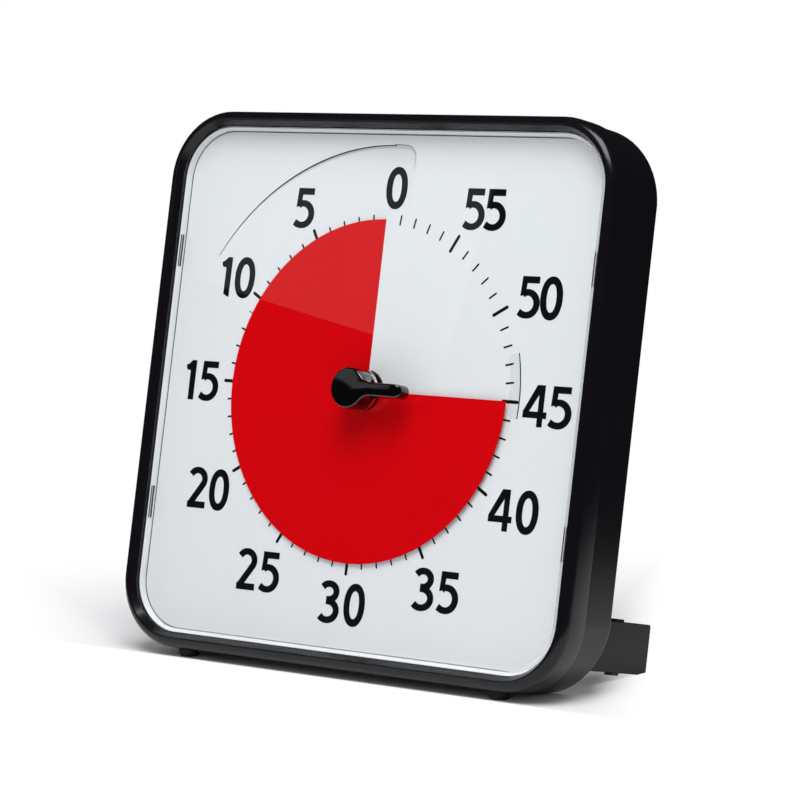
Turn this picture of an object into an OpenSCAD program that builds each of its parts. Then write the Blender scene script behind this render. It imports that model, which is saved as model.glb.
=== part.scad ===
// Visual countdown timer: a square case with a clear lens, a one-turn red disc that threads through a
// slit in the dial, a quartz movement and two fold-out rear legs.
// The face frame has x to the right, y up the dial and z towards the viewer, with z = 0 on the dial.

/* [Case] */
// Width and height of the square case
case_size = 191; // [186:0.5:200]
// Outer corner radius of the case
corner_r = 25.5; // [24:0.5:28]
// Height of the bezel's crest in front of the dial
bezel_rise = 6.2; // [5.6:0.1:8]
// Radius of the bezel's rounded outer edge
bezel_round = 2.6; // [2:0.1:3]
// Width of the bezel, from the side of the case to its opening
bezel_w = 5.1; // [4.2:0.05:6]
// Depth of the front frame behind the dial's face
frame_depth = 5.8; // [5:0.1:7]
// Radius of the rounded edge round the back
back_round = 1; // [1:0.1:2]
// Wall of the front frame
frame_wall = 2.4; // [2:0.1:2.8]
// Wall and back of the rear housing
back_wall = 2; // [1.8:0.1:2.4]
// Lean of the case when it stands on its legs
lean_angle = 11; // [8:0.5:13]

/* [Dial and lens] */
// Thickness of the dial sheet
dial_t = 0.25; // [0.2:0.01:0.3]
// Radius of the cut round the pressed-down flap
flap_r = 85; // [80:0.5:86]
// Depth of the flap at the slit
flap_drop = 1.2; // [1:0.05:1.4]
// Angle that the flap's ramp takes to rise to the dial's face
flap_angle = 66; // [66:3:78]
// Width of the flap beyond the slit, which holds the numeral 0
flap_side = 9.5; // [8:0.5:12]
// Thickness of the lens plate
lens_t = 1.1; // [1:0.1:1.6]
// Thickness of the lens skirt
skirt_t = 1.5; // [1:0.1:2]
// Gap between the lens and the bezel
lens_gap = 0.3; // [0.2:0.05:0.5]
// Length of each snap tab on the lens
tab_len = 11.4; // [8:0.2:16]
// Height of the snap tabs above and below the middle of the case
tab_y = 45.2; // [35:0.1:50]

/* [Disc] */
// Radius of the red disc
disc_r = 59.4; // [50:0.1:60]
// Thickness of the disc's film
disc_t = 0.15; // [0.1:0.01:0.16]
// Running gap between the disc and the dial
disc_gap = 0.06; // [0.05:0.01:0.07]
// Rise of the disc in one full turn
disc_pitch = 2.6; // [2.6:0.05:2.65]
// Gap left open in the disc's full turn
disc_open = 4; // [4:1:8]

/* [Knob] */
// Radius of the knob's round head
knob_r = 6.8; // [6:0.1:7.5]
// Reach of the pointer from the axis
pointer_len = 21.8; // [18:0.1:28]
// Width of the pointer
pointer_w = 4.1; // [3:0.1:5]
// Height of the knob's front above the dial
knob_front = 12; // [11:0.1:15]
// Depth of the knob's head
knob_t = 6; // [5:0.1:6.4]
// Radius of the arbor
arbor_r = 1.6; // [1.4:0.05:1.8]
// Radius of the hub that carries the disc
hub_r = 6.2; // [5.8:0.1:6.3]

/* [Feet and legs] */
// Radius of the front feet
foot_r = 3.6; // [3:0.1:4.2]
// Distance of each foot from the side of the case
foot_in = 28.25; // [27:0.25:35]
// Height of the feet below the case, at their middle
foot_h = 2.4; // [2:0.1:3]
// Distance of each leg's pivot from the side of the case
leg_in = 17.25; // [17:0.25:21]
// Reach of the opened legs behind the dial's face
leg_reach = 69; // [60:0.5:72]
// Height of the leg plates
leg_h = 17.4; // [15:0.1:18]
// Thickness of the leg plates
leg_t = 4.5; // [3.6:0.1:4.8]
// Height of the leg's upper edge above the bottom of the case
leg_up = 27.05; // [26.65:0.1:27.25]
// Radius of the leg pins
pin_r = 1.25; // [1:0.05:1.4]

/* [Movement] */
// Half width of the movement's housing
move_x = 28; // [28:0.5:32]
// Radius of the battery
cell_r = 7.25; // [7.25:0.01:7.26]
// Gap between the battery and its door
cell_room = 0.6; // [0.6:0.1:3]
// Length of the battery
cell_len = 50.5; // [50:0.1:50.8]
// Module of the seconds, third and centre wheels' teeth
tooth_m = 0.4; // [0.39:0.01:0.4]
// Module of the step rotor's and intermediate wheel's teeth
fine_m = 0.25; // [0.24:0.01:0.26]

/* [Hidden] */
$fn = 96;
half = case_size / 2;
foot_x = half - foot_in;
leg_x = half - leg_in;
leg_top = half - leg_up;
flat = half - corner_r;
opening = half - bezel_w;
ledge_w = 4.55;
ledge_t = 2;
fit = 0.05;
run_gap = 0.3;
dial_half = opening - 0.4;
lens_half = opening - lens_gap;
disc_mid = -(dial_t + disc_t / 2 + disc_gap);
lens_inner = disc_mid + disc_pitch + disc_t / 2 + 0.2;
lens_front = lens_inner + lens_t;
hub_key = 0.5;
flap_kerf = 0.2;
crease = 0.1;
disc_bore = hub_r + 0.15;
dial_bore = hub_r + 1;
disc_low = disc_mid - disc_pitch;
move_front = disc_low - 1;
door_t = 1.2;
cell_z = move_front - 1 - cell_r;
case_depth = -(cell_z - cell_r) + cell_room + door_t + 0.015;
move_back = -(case_depth - back_wall) + 0.4;
cover_t = 1.2;
foot_z = -2;
foot_low = -(half + foot_h);
floor_drop = -(foot_low * cos(lean_angle) + foot_z * sin(lean_angle));
leg_edge_r = 1;
front_reach = (half - bezel_round) * sin(lean_angle) + (bezel_rise - bezel_round) * cos(lean_angle)
              + bezel_round;
rear_reach = (leg_reach - leg_edge_r) * cos(lean_angle) - (leg_top + leg_edge_r) * sin(lean_angle)
             + leg_edge_r;
middle_y = (front_reach - rear_reach) / 2;
tab_out = 0.6;
nub_z = -50.8;
nub_len = 4.6;
nub_out = 0.9;
leg_low = leg_top + leg_h;
leg_mid = leg_top + leg_h / 2;
hinge_z = -(case_depth - 4);
pocket_gap = nub_out + 0.2;
pocket_depth = 7;
pocket_end = leg_x + leg_t / 2 + 0.35;
pocket_in = leg_x - (leg_reach + hinge_z) - 2;
pocket_wall = 1.8;
screw_r = 0.95;
screw_head_r = 2.6;
screw_head_t = 1.8;
corner_at = flat + (corner_r - 5.07) * sqrt(0.5);
edge_at = half - 5.25;
case_screws_at = [[-corner_at, corner_at], [corner_at, corner_at], [-edge_at, -52], [edge_at, -52],
    [-16, -edge_at], [16, -edge_at]];
boss_r = 3.2;
head_seat = -(case_depth - 3.8);
cell_y = -25.5;
bay_gap = 0.4;
bay_top = cell_y + cell_r + bay_gap;
move_low = cell_y - cell_r - bay_gap - cover_t;
move_top = 28;
door_x = 31;
door_y = 10.5;
door_gap = 0.2;
heel_gap = 0.3;
bush_r = 4;
third_at = 45 * tooth_m * [-sqrt(0.5), sqrt(0.5)];
seconds_dir = 22;
inter_dir = 12;
rotor_dir = -6;
seconds_at = third_at + 34 * tooth_m * [cos(seconds_dir), sin(seconds_dir)];
inter_at = seconds_at + 24 * tooth_m * [cos(inter_dir), sin(inter_dir)];
rotor_at = inter_at + 28 * fine_m * [cos(rotor_dir), sin(rotor_dir)];
coil_y = -8.5;
coil_z = -11.85;
stator_t = 0.9;
ear_at = [[-31.5, 20], [31.5, 20], [-31.5, -8], [31.5, -8]];
ear_z = -15.4;
buzzer_at = [-52, 30];
buzzer_r = 13;
buzzer_t = 3;
switch_at = [52, 30];
switch_travel = 3;
keyhole_y = half - 25.25;
key_r = 4.4;
key_slot_r = 2.2;
board_z = -17;
board_t = 0.8;
arbor_low = move_back + 1.6;

// ---- helpers ----
// Stands the face frame up, leans it back and sets it on the floor
module place()
    translate([0, middle_y, floor_drop]) rotate([90 - lean_angle, 0, 0]) children();

// Everything under the floor, in the face frame
module under_floor()
    rotate([lean_angle - 90, 0, 0]) translate([0, -middle_y, -floor_drop])
        translate([-150, -150, -40]) cube([300, 300, 40]);

module rounded_square(h, r) {
    square([2 * h, 2 * (h - r)], center = true);
    square([2 * (h - r), 2 * h], center = true);
    for (sx = [-1, 1], sy = [-1, 1]) translate([sx * (h - r), sy * (h - r)]) circle(r = r);
}

module slab(h, low, high)
    translate([0, 0, low]) linear_extrude(high - low) rounded_square(h, h - flat);

module box(x0, x1, y0, y1, z0, z1)
    translate([x0, y0, z0]) cube([x1 - x0, y1 - y0, z1 - z0]);

module rod(at, r, low, high)
    translate([at[0], at[1], low]) cylinder(r = r, h = high - low);

module ring(r_out, r_in, low, high)
    translate([0, 0, low]) difference() {
        cylinder(r = r_out, h = high - low);
        translate([0, 0, -1]) cylinder(r = r_in, h = high - low + 2);
    }

function arc(at, r, from, to, n) =
    [for (i = [0 : n]) let (a = from + (to - from) * i / n) [at[0] + r * cos(a), at[1] + r * sin(a)]];

// ---- case ----
module frame_profile() {
    x_in = opening - flat;
    polygon([[corner_r, -frame_depth], [corner_r, bezel_rise - bezel_round],
        [corner_r - bezel_round, bezel_rise - bezel_round], [corner_r - bezel_round, bezel_rise],
        [x_in, lens_front + 0.35], [x_in, -dial_t], [x_in - ledge_w, -dial_t],
        [x_in - ledge_w, -dial_t - ledge_t], [corner_r - frame_wall, -dial_t - ledge_t],
        [corner_r - frame_wall, -frame_depth]]);
    intersection() {
        translate([corner_r - bezel_round, bezel_rise - bezel_round]) circle(r = bezel_round);
        translate([corner_r - bezel_round, bezel_rise - bezel_round]) square(bezel_round);
    }
}

// Runs a wall profile round the rounded square
module wall_ring()
    for (a = [0 : 90 : 270]) rotate([0, 0, a]) {
        translate([flat, flat, 0]) rotate_extrude(angle = 90) children();
        translate([flat, flat, 0]) rotate([90, 0, 0]) linear_extrude(2 * flat) children();
    }

module lens_tab_places() {
    for (sx = [-1, 1], sy = [-1, 1]) translate([sx * lens_half, sy * tab_y, 0]) children();
    for (sy = [-1, 1]) translate([0, sy * lens_half, 0]) rotate([0, 0, 90]) children();
}

module front_frame() place() color("#1c1a1d") difference() {
    union() {
        wall_ring() frame_profile();
        for (p = case_screws_at) rod(p, boss_r, -frame_depth, -dial_t - ledge_t + 0.5);
    }
    lens_tab_places() box(-2, 2, -tab_len / 2 - 0.5, tab_len / 2 + 0.5, 0.5, 2.3);
    for (p = case_screws_at) rod(p, screw_r + fit, -frame_depth - 1, -dial_t - 0.8);
    for (s = [-1, 1]) translate([s * foot_x, -half - 1, foot_z]) rotate([-90, 0, 0])
        cylinder(r = 1.5 + fit, h = 4);
}

// Room that one leg needs in the back, on the +x side
module leg_pocket()
    box(pocket_in, pocket_end, -leg_low - pocket_gap, -leg_top + pocket_gap,
        -case_depth - 1, -case_depth + pocket_depth);

module leg_pocket_walls()
    box(pocket_in - pocket_wall, pocket_end + pocket_wall, -leg_low - pocket_gap - pocket_wall,
        -leg_top + pocket_gap + pocket_wall, -case_depth, -case_depth + pocket_depth + pocket_wall);

module keyhole_shape() {
    circle(r = key_r);
    translate([-key_slot_r, 0]) square([2 * key_slot_r, 9]);
    translate([0, 9]) circle(r = key_slot_r);
}

module housing_profile() {
    low = -case_depth + back_round;
    x_in = corner_r - back_wall;
    polygon([[corner_r, -frame_depth], [corner_r, low], [corner_r - back_round, low],
        [corner_r - back_round, -case_depth], [x_in - 3, -case_depth], [x_in - 3, -case_depth + back_wall],
        [x_in, -case_depth + back_wall], [x_in, -frame_depth]]);
    intersection() {
        translate([corner_r - back_round, low]) circle(r = back_round);
        translate([corner_r - back_round, low - back_round]) square(back_round);
    }
}

module rear_housing() place() color("#1b191c") difference() {
    union() {
        wall_ring() housing_profile();
        slab(half - back_wall - 3, -case_depth, -case_depth + back_wall);
        difference() {
            slab(half - frame_wall - 0.15, -frame_depth - 6, -frame_depth + 1.8);
            slab(half - frame_wall - 1.35, -case_depth, 0);
            for (p = case_screws_at) rod(p, boss_r + 0.3, -frame_depth, 0);
        }
        for (p = case_screws_at) rod(p, boss_r + 0.8, -case_depth, -frame_depth);
        for (m = [0, 1]) mirror([m, 0, 0]) leg_pocket_walls();
        for (p = ear_at) rod(p, 3, -case_depth + 0.5, ear_z - 1.6);
        translate([buzzer_at[0], buzzer_at[1], 0])
            ring(buzzer_r + 1.4, buzzer_r + fit, -case_depth + 0.5, -case_depth + back_wall + 2);
        translate([0, keyhole_y + 3, 0]) ring(9, 7.6, -case_depth + 0.5, -frame_depth - 4);
    }
    for (p = case_screws_at) {
        rod(p, 1.6, -case_depth - 1, -frame_depth + 1);
        rod(p, screw_head_r + 0.25, -case_depth - 1, head_seat);
    }
    for (p = ear_at) rod(p, 0.95 + fit, -case_depth + back_wall, ear_z);
    for (m = [0, 1]) mirror([m, 0, 0]) {
        leg_pocket();
        for (e = [-leg_low - pocket_gap, -leg_top + pocket_gap])
            translate([leg_x, e, hinge_z]) rotate([-90, 0, 0])
                cylinder(r = pin_r + fit, h = 2 * pocket_wall + 2, center = true);
    }
    box(-door_x, door_x, cell_y - door_y, cell_y + door_y, -case_depth - 1, -case_depth + door_t + door_gap);
    box(-move_x + cover_t, move_x - cover_t, cell_y - cell_r - bay_gap, bay_top,
        -case_depth - 1, -case_depth + back_wall + 1);
    translate([0, keyhole_y, -case_depth - 1]) linear_extrude(back_wall + 2) keyhole_shape();
    box(switch_at[0] - 3.8, switch_at[0] + 3.8, switch_at[1] - 2.2, switch_at[1] + 2.2,
        -case_depth - 1, -case_depth + back_wall + 1);
    for (a = [0 : 60 : 300]) rod(buzzer_at + 5 * [cos(a), sin(a)], 1, -case_depth - 1,
        -case_depth + back_wall + 1);
    rod(buzzer_at, 1, -case_depth - 1, -case_depth + back_wall + 1);
    translate(heel_gap * [0, cos(lean_angle), sin(lean_angle)]) under_floor();
}

module lens() place() color("#e8f0f4", 0.3) {
    difference() {
        union() {
            slab(lens_half, 0, lens_front);
            lens_tab_places() box(-tab_out, tab_out, -tab_len / 2, tab_len / 2, 0.8, 2);
            rod([0, 0], knob_r + 0.5, lens_inner, lens_front + 0.5);
        }
        slab(lens_half - skirt_t, -1, lens_inner);
        rod([0, 0], knob_r - 0.25, -1, lens_front + 1);
    }
}

// ---- dial ----
function around(r, a) = [-r * sin(a), r * cos(a)];

module flap_outline() {
    steps = 24;
    polygon(concat([[0, 0]], [for (i = [0 : steps]) around(flap_r, flap_angle * i / steps)]));
    side_outline(0);
}

// The flap's part beyond the slit: a strip with one rounded corner
module side_outline(grow) {
    corner = 4;
    low = disc_r + 2 - grow;
    corner_x = flap_side - corner;
    corner_y = sqrt(pow(flap_r - corner, 2) - pow(corner_x, 2));
    meet = atan2(corner_y, corner_x);
    polygon(concat([[0, low], [flap_side + grow, low]], arc([corner_x, corner_y], corner + grow, 0, meet, 8),
        [for (i = [1 : 5]) around(flap_r + grow, (meet - 90) * (1 - i / 5))]));
}

// A closed strip of wedges; each station has four corners, in the same order
module wedges(points) {
    last = len(points) - 4;
    sides = [for (i = [0 : 4 : last - 4], j = [0 : 3])
        [i + j, i + 4 + j, i + 4 + (j + 1) % 4, i + (j + 1) % 4]];
    polyhedron(points, concat([[0, 1, 2], [0, 2, 3]],
        [for (f = sides) each [[f[0], f[1], f[2]], [f[0], f[2], f[3]]]],
        [[last + 3, last + 2, last + 1], [last + 3, last + 1, last]]));
}

function station(a, r_in, r_out, top, t) = [
    [each around(r_in, a), top], [each around(r_out, a), top],
    [each around(r_out, a), top - t], [each around(r_in, a), top - t]];

// The flap's sheet, from the slit to the end of its ramp
module flap_ramp()
    wedges([for (i = [0 : 24]) each
        station((flap_angle + 1) * i / 24, dial_bore + flap_kerf, flap_r - flap_kerf,
            -flap_drop + (flap_drop - crease) * i / 24, dial_t)]);

module dial() place() color("#e6e9ed") {
    difference() {
        slab(dial_half, -dial_t, 0);
        rod([0, 0], dial_bore, -1, 1);
        translate([0, 0, -1]) linear_extrude(2) flap_outline();
    }
    flap_ramp();
    translate([0, 0, -flap_drop - dial_t]) linear_extrude(dial_t) side_outline(0);
    translate([0, 0, -flap_drop - dial_t]) linear_extrude(flap_drop + dial_t) difference() {
        side_outline(0.3);
        side_outline(0);
    }
}

module disc_guide() place() color("#dfe6ea", 0.4) linear_extrude(0.8) polygon([
    for (a = [265 : 5 : 285]) around(disc_r + 0.4, a), for (a = [285 : -5 : 265]) around(disc_r + 4.6, a)]);

// ---- disc, hub and knob ----
key_angles = [20, 140, 260];

function bore_at(a) = min([for (k = key_angles) abs(a - k)]) <= 6 ? disc_bore + hub_key + 0.1 : disc_bore;

function disc_top(a) = disc_mid + disc_pitch * a / 360 + disc_t / 2;

// One turn of a screw surface that rests with its leading edge at 45 minutes
module disc() place() color("#d20014")
    wedges([for (i = [0 : 90]) let (a = 270 - (360 - disc_open) * i / 90) each
        station(a, bore_at(a), disc_r, disc_top(a), disc_t)]);

module disc_hub() place() color("#141315") {
    difference() {
        union() {
            rod([0, 0], hub_r, disc_low - 0.4, lens_inner - 0.1);
            for (k = key_angles) rotate([0, 0, k]) box(-0.3, 0.3, hub_r - 1, hub_r + hub_key,
                disc_low - 0.4, lens_inner - 0.1);
        }
        rod([0, 0], arbor_r + fit, disc_low - 1, lens_inner + 1);
    }
}

// Round head and pointer, joined by two hollow blends
module knob_outline() {
    blend = 6;
    tip_r = pointer_w / 2;
    reach_y = tip_r + blend;
    reach_x = sqrt(pow(knob_r + blend, 2) - pow(reach_y, 2));
    meet = atan2(reach_y, reach_x);
    polygon(concat(arc([0, 0], knob_r, meet, 360 - meet, 48), arc([reach_x, -reach_y], blend, 170 - meet, 90, 6),
        arc([pointer_len - tip_r, 0], tip_r, -90, 90, 12), arc([reach_x, reach_y], blend, 270, 190 + meet, 6)));
}

module knob() place() color("#0e0d0f") difference() {
    union() {
        translate([0, 0, knob_front - knob_t]) linear_extrude(knob_t) knob_outline();
        rod([0, 0], knob_r - 0.7, lens_inner, knob_front - knob_t + 0.5);
    }
    rod([0, 0], arbor_r + fit, lens_inner - 1, knob_front - 2);
}

module arbor() place() color("silver") {
    rod([0, 0], arbor_r, arbor_low, knob_front - 2 - fit);
    rod([0, 0], 3.5, move_front - 4.5, move_front - 3.75);
}

// ---- movement ----
// Slim straight-sided teeth that leave backlash; a tooth is centred at the given angle
module gear(at, teeth, m, low, high, angle) {
    r = teeth * m / 2;
    step = 360 / teeth;
    side = [[r - 1.05 * m, -0.26], [r, -0.17], [r + 0.8 * m, -0.08],
        [r + 0.8 * m, 0.08], [r, 0.17], [r - 1.05 * m, 0.26]];
    translate([at[0], at[1], low]) rotate([0, 0, angle]) linear_extrude(high - low)
        polygon([for (i = [0 : teeth - 1], p = side)
            p[0] * [cos((i + p[1]) * step), sin((i + p[1]) * step)]]);
}

// Angle at which a gear shows a gap to its neighbour
function gap_to(angle, teeth) = angle + 180 + 180 / teeth;

module axle(at) {
    rod(at, 0.75, move_back + cover_t + 0.2, move_front - cover_t - 0.2);
    rod(at, 0.5, move_back + cover_t - 0.6, move_front - cover_t + 0.6);
}

module centre_wheel() place() color("#f2efe6") difference() {
    union() {
        gear([0, 0], 80, tooth_m, move_front - 3.2, move_front - 2.4, 135);
        rod([0, 0], 3, move_front - 3.2, move_front - 1.9);
    }
    rod([0, 0], arbor_r + fit, move_front - 5, move_front);
}

module third_wheel() place() color("#f2efe6") {
    gear(third_at, 10, tooth_m, move_front - 3.6, move_front - 2, gap_to(135, 10));
    gear(third_at, 60, tooth_m, move_front - 5.6, move_front - 4.8, seconds_dir);
    axle(third_at);
}

module seconds_wheel() place() color("#f2efe6") {
    gear(seconds_at, 8, tooth_m, move_front - 6, move_front - 4.4, gap_to(seconds_dir, 8));
    gear(seconds_at, 40, tooth_m, move_front - 8, move_front - 7.2, inter_dir);
    axle(seconds_at);
}

module intermediate_wheel() place() color("#f2efe6") {
    gear(inter_at, 8, tooth_m, move_front - 8.4, move_front - 6.8, gap_to(inter_dir, 8));
    gear(inter_at, 48, fine_m, move_front - 11, move_front - 10.2, rotor_dir);
    axle(inter_at);
}

module step_rotor() place() color("#5a5a60") {
    gear(rotor_at, 8, fine_m, move_front - 11.4, move_front - 9.8, gap_to(rotor_dir, 8));
    rod(rotor_at, 2.5, move_front - 9.2, move_front - 6.8);
    axle(rotor_at);
}

module stator() place() color("#8c8f94") {
    low = coil_z - stator_t / 2;
    difference() {
        union() {
            box(rotor_at[0] - 4.2, rotor_at[0] + 4.2, 5, rotor_at[1] + 4.6, low, low + stator_t);
            for (x = [9.5, 22.4]) box(x, x + 3, coil_y - 1.5, 8, low, low + stator_t);
            for (x = [9.5, 19]) box(x, x + 6.4, 5, 8, low, low + stator_t);
            box(9.5, 25.4, coil_y - 1.5, coil_y + 1.5, low, low + stator_t);
        }
        rod(rotor_at, 2.9, low - 1, low + 2);
        box(rotor_at[0] - 1.2, rotor_at[0] + 1.2, 4, rotor_at[1] - 4, low - 1, low + 2);
    }
}

module along_coil(r, from, to)
    translate([from, coil_y, coil_z]) rotate([0, 90, 0]) cylinder(r = r, h = to - from);

module coil_bobbin() place() color("#2d5a3d") difference() {
    union() {
        along_coil(2.3, 12.8, 22.1);
        along_coil(4.3, 12.8, 13.5);
        along_coil(4.3, 21.4, 22.1);
    }
    box(12, 23, coil_y - 1.6, coil_y + 1.6, coil_z - stator_t / 2 - 0.1, coil_z + stator_t / 2 + 0.1);
}

module coil_winding() place() color("#b5622e") difference() {
    along_coil(4, 13.55, 21.35);
    along_coil(2.35, 13, 22);
}

module circuit_board() place() color("#2f6b3a") difference() {
    box(-26, 8, -15, 26, board_z, board_z + board_t);
    for (p = [third_at, seconds_at]) rod(p, 1.4, board_z - 1, board_z + 2);
    rod([0, 0], 3.6, board_z - 1, board_z + 2);
}

module quartz_crystal() place() color("silver")
    translate([-9, -12, board_z + board_t + 1]) rotate([-90, 0, 0]) cylinder(r = 1, h = 6);

module timer_chip() place() color("#151515")
    box(-22, -14, -12, -6, board_z + board_t, board_z + board_t + 1.4);

module alarm_cam() place() color("#e9e4d8") difference() {
    rod([0, 0], 4.6, move_front - 6.6, move_front - 5.4);
    rod([0, 0], arbor_r + fit, move_front - 7, move_front - 5);
    box(-0.9, 0.9, 3.6, 6, move_front - 7, move_front - 5);
}

module alarm_contact() place() color("#c9a24a") {
    box(4.9, 5.2, -2.5, 2.5, board_z + board_t, move_front - 5.2);
    box(4.9, 7.4, -2.5, 2.5, board_z + board_t, board_z + board_t + 0.3);
}

module movement_walls(low, high) difference() {
    box(-move_x, move_x, move_low, move_top, low, high);
    box(-move_x + cover_t, move_x - cover_t, bay_top + cover_t, move_top - cover_t, low - 1, high + 1);
    box(-move_x + cover_t, move_x - cover_t, move_low + cover_t, bay_top, low - 1, high + 1);
}

module movement_front() place() color("#d9d4c6") difference() {
    union() {
        movement_walls(move_front - 5, move_front);
        box(-move_x, move_x, move_low, move_top, move_front - cover_t, move_front);
    }
    box(-move_x + cover_t, move_x - cover_t, move_low + cover_t, bay_top,
        move_front - cover_t - 1, move_front - 0.6);
    rod([0, 0], bush_r + fit, move_front - 3, move_front + 1);
    for (p = [third_at, seconds_at, inter_at, rotor_at])
        rod(p, 0.5 + fit, move_front - 3, move_front - cover_t + 0.8);
}

module arbor_bush() place() color("#b08d3f") difference() {
    union() {
        rod([0, 0], bush_r, move_front - cover_t - 0.4, move_front);
        rod([0, 0], bush_r + 1.2, move_front, move_front + 0.4);
    }
    rod([0, 0], arbor_r + fit, move_front - 3, move_front + 1);
}

module friction_washer() place() color("#c0c2c6")
    ring(3.3, arbor_r + 0.3, move_front - 3.65, move_front - 3.25);

module movement_cover() place() color("#cfcabc") difference() {
    union() {
        movement_walls(move_back, move_front - 5);
        box(-move_x, move_x, bay_top, move_top, move_back, move_back + cover_t);
        for (p = ear_at) {
            rod(p, 3, ear_z - 1.6, ear_z);
            box(p[0] > 0 ? move_x - 0.5 : p[0], p[0] > 0 ? p[0] : -move_x + 0.5,
                p[1] - 3, p[1] + 3, ear_z - 1.6, ear_z);
        }
        for (p = [[-24, -13], [-24, 24], [6, -13], [-6, 24]]) rod(p, 1, move_back + 0.5, board_z);
        rod([0, 0], 3.2, move_back + 0.5, move_back + cover_t + 1.7);
    }
    rod([0, 0], arbor_r + fit, arbor_low - 0.2, 0);
    for (p = ear_at) rod(p, screw_r + fit, ear_z - 3, ear_z + 1);
    for (p = [third_at, seconds_at, inter_at, rotor_at])
        rod(p, 0.5 + fit, move_back + cover_t - 0.8, 0);
}

module screw(at, tip, seat, head_r, head_t) {
    low = min(tip, seat);
    rod(at, screw_r, low, max(tip, seat));
    rod(at, head_r, tip > seat ? seat - head_t : seat, tip > seat ? seat : seat + head_t);
}

module movement_screws() place() color("silver")
    for (p = ear_at) screw(p, -case_depth + back_wall + 0.5, ear_z, 1.9, 1.2);

module case_screws() place() color("#3a3a3d")
    for (p = case_screws_at) screw(p, -dial_t - 1.2, head_seat, screw_head_r, screw_head_t);

module battery() place() color("#3d5a78") {
    x0 = -move_x + cover_t + 2.7;
    translate([x0, cell_y, cell_z]) rotate([0, 90, 0]) {
        cylinder(r = cell_r, h = cell_len - 1);
        cylinder(r = 2.6, h = cell_len);
    }
}

module positive_contact() place() color("#c8b878") {
    x0 = -move_x + cover_t + 2.7 + cell_len;
    box(x0, move_x - cover_t, cell_y - 4, cell_y + 4, cell_z - 6, cell_z + 5);
}

module negative_contact() place() color("#c8b878") {
    x0 = -move_x + cover_t;
    box(x0, x0 + 0.4, cell_y - 5, cell_y + 5, cell_z - 6, cell_z + 5);
    for (i = [0 : 2]) translate([x0 + 0.75 + 0.7 * i, cell_y, cell_z]) rotate([0, 90, 0])
        rotate_extrude() translate([4 - 0.45 * i, 0]) circle(r = 0.45, $fn = 24);
}

module battery_door() place() color("#1b191c") {
    box(-door_x + door_gap, door_x - door_gap, cell_y - door_y + door_gap, cell_y + door_y - door_gap,
        -case_depth, -case_depth + door_t);
    for (s = [-1, 1]) box(-10, 10, cell_y + s * 6.8 - 0.5, cell_y + s * 6.8 + 0.5,
        -case_depth + 0.5, -case_depth + door_t + 2.4);
}

module buzzer() place() color("#202022") difference() {
    rod(buzzer_at, buzzer_r, -case_depth + back_wall, -case_depth + back_wall + buzzer_t);
    rod(buzzer_at, 1.5, -case_depth + back_wall - 1, -case_depth + back_wall + 1.5);
}

module switch_body() place() color("#2a2a2c") difference() {
    box(switch_at[0] - 5, switch_at[0] + 5, switch_at[1] - 3, switch_at[1] + 3,
        -case_depth + back_wall, -case_depth + back_wall + 3.6);
    box(switch_at[0] - 3.6, switch_at[0] + 3.6, switch_at[1] - 1.6, switch_at[1] + 1.6,
        -case_depth, -case_depth + back_wall + 2);
}

module switch_slider() place() color("#c9c9c9")
    box(switch_at[0] - switch_travel, switch_at[0], switch_at[1] - 1.4, switch_at[1] + 1.4,
        -case_depth - 0.8, -case_depth + back_wall + 1.7);

// ---- feet and legs ----
module foot() difference() {
    translate([foot_x, -half - 6, foot_z]) rotate([-90, 0, 0]) {
        cylinder(r = foot_r, h = 6);
        cylinder(r = 1.5, h = 8.6);
    }
    under_floor();
}

module foot_right() place() color("#0d0d0e") foot();

module foot_left() place() color("#0d0d0e") mirror([1, 0, 0]) foot();

module leg() difference() {
    union() {
        translate([leg_x + leg_t / 2, 0, 0]) rotate([0, -90, 0]) linear_extrude(leg_t) {
            translate([-leg_reach, -leg_low]) square([leg_reach + hinge_z, leg_h - leg_edge_r]);
            translate([-leg_reach + leg_edge_r, -leg_low])
                square([leg_reach + hinge_z - leg_edge_r, leg_h]);
            translate([-leg_reach + leg_edge_r, -leg_top - leg_edge_r]) circle(r = leg_edge_r);
        }
        translate([leg_x, -leg_low, hinge_z]) rotate([-90, 0, 0]) cylinder(r = leg_t / 2, h = leg_h);
        box(leg_x - leg_t / 3, leg_x + leg_t / 3, -leg_low - nub_out, -leg_top + nub_out,
            nub_z - nub_len / 2, nub_z + nub_len / 2);
    }
    translate([leg_x, -leg_low - 1, hinge_z]) rotate([-90, 0, 0]) cylinder(r = pin_r + fit, h = leg_h + 2);
    under_floor();
}

module leg_right() place() color("#252326") leg();

module leg_left() place() color("#252326") mirror([1, 0, 0]) leg();

module leg_pin()
    translate([leg_x, -leg_low - pocket_gap - pocket_wall, hinge_z]) rotate([-90, 0, 0])
        cylinder(r = pin_r, h = leg_h + 2 * pocket_gap + 2 * pocket_wall);

module leg_pin_right() place() color("silver") leg_pin();

module leg_pin_left() place() color("silver") mirror([1, 0, 0]) leg_pin();

front_frame();
rear_housing();
lens();
dial();
disc_guide();
disc();
disc_hub();
knob();
arbor();
arbor_bush();
friction_washer();
centre_wheel();
third_wheel();
seconds_wheel();
intermediate_wheel();
step_rotor();
stator();
coil_bobbin();
coil_winding();
circuit_board();
quartz_crystal();
timer_chip();
alarm_cam();
alarm_contact();
movement_front();
movement_cover();
movement_screws();
case_screws();
battery();
positive_contact();
negative_contact();
battery_door();
buzzer();
switch_body();
switch_slider();
foot_left();
foot_right();
leg_left();
leg_right();
leg_pin_left();
leg_pin_right();
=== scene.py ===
import math

import bmesh
import bpy
from mathutils import Matrix, Vector


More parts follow.
